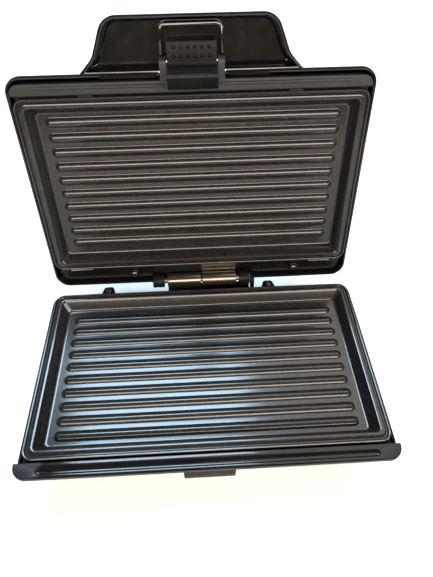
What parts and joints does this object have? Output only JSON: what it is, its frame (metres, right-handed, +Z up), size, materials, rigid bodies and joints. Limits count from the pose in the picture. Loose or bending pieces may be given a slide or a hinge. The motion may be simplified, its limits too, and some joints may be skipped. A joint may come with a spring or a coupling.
{
  "type": "panini press",
  "caption": "Two-slice panini press standing open: hinged lid and base with ribbed removable plates, a sprung front latch, a grip and internal heating parts.",
  "frame": {"origin": "centre of the footprint of the open press, on the worktop", "axes": "+Z up, +X along the hinge to the right as seen from the front, -Y towards the user"},
  "size_m": [0.2452, 0.2282, 0.2286],
  "materials": {
    "coating": "satin",
    "black_gloss": "gloss",
    "black_satin": "satin",
    "grey_matt": "matte",
    "hinge_metal": "satin",
    "steel": "satin",
    "bright_tin": "satin",
    "element_sheath": "matte",
    "rubber": "matte",
    "ceramic": "matte",
    "sleeve_white": "matte",
    "lens_red": "gloss",
    "lens_green": "gloss"
  },
  "bodies": {
    "base": {"base_housing": "black_satin", "base_front_deck": "black_satin", "latch_catch": "black_satin", "bottom_cover": "black_satin", "rear_frame_screw_left": "steel", "rear_frame_screw_right": "steel", "lower_reflector_tray": "bright_tin", "lower_heating_element": "element_sheath", "lower_element_clamp_left": "bright_tin", "lower_element_clamp_right": "bright_tin", "lower_plate_clip_left": "bright_tin", "lower_plate_clip_right": "bright_tin", "base_hinge_leaf": "hinge_metal", "hinge_pin": "steel", "hinge_cable_guard": "black_satin", "cord_gland": "rubber", "terminal_block": "sleeve_white", "thermostat": "ceramic", "thermal_fuse": "sleeve_white", "live_lead": "sleeve_white", "neutral_lead": "sleeve_white", "fuse_link_lead": "sleeve_white", "release_spring": "steel", "foot_front_left": "rubber", "bottom_screw_front_left": "steel", "foot_rear_left": "rubber", "bottom_screw_rear_left": "steel", "foot_front_right": "rubber", "bottom_screw_front_right": "steel", "foot_rear_right": "rubber", "bottom_screw_rear_right": "steel"},
    "lid": {"lid_outer_cover": "black_gloss", "handle_grip": "black_gloss", "lid_front_deck": "grey_matt", "lid_inner_frame": "black_satin", "lid_frame_screw_left": "steel", "lid_frame_screw_right": "steel", "upper_reflector_tray": "bright_tin", "upper_heating_element": "element_sheath", "upper_element_clamp_left": "bright_tin", "upper_element_clamp_right": "bright_tin", "upper_plate_clip_left": "bright_tin", "upper_plate_clip_right": "bright_tin", "power_lamp_lens": "lens_red", "ready_lamp_lens": "lens_green", "lid_hinge_leaf": "hinge_metal", "latch_pin": "steel", "latch_spring": "steel"},
    "latch": {"latch": "grey_matt"},
    "lower_plate": {"lower_grill_plate": "coating"},
    "upper_plate": {"upper_grill_plate": "coating"},
    "release_button": {"release_button": "black_satin"}
  },
  "joints": [
    {"name": "lid_hinge", "type": "hinge", "parent": "base", "child": "lid", "pos_m": [-0.00095, 0.04319, 0.044], "axis": [1, 0, 0], "range_deg": [0, 103.2]},
    {"name": "latch_pivot", "type": "hinge", "parent": "lid", "child": "latch", "pos_m": [-0.00095, 0.08664, 0.20298], "axis": [-1, 0, 0], "range_deg": [0, 18], "stiffness_Nm_per_rad": 0.15, "springref_deg": -5.73, "deforming": ["latch_spring"]},
    {"name": "lower_plate_lift", "type": "slide", "parent": "base", "child": "lower_plate", "axis": [0, 0, -1], "range_m": [-0.016, 0]},
    {"name": "upper_plate_lift", "type": "slide", "parent": "lid", "child": "upper_plate", "axis": [0, 0.9736, -0.2284], "range_m": [-0.016, 0]},
    {"name": "release_button_slide", "type": "slide", "parent": "base", "child": "release_button", "axis": [-1, 0, 0], "range_m": [0, 0.003], "stiffness_N_per_m": 800, "deforming": ["release_spring"]}
  ]
}
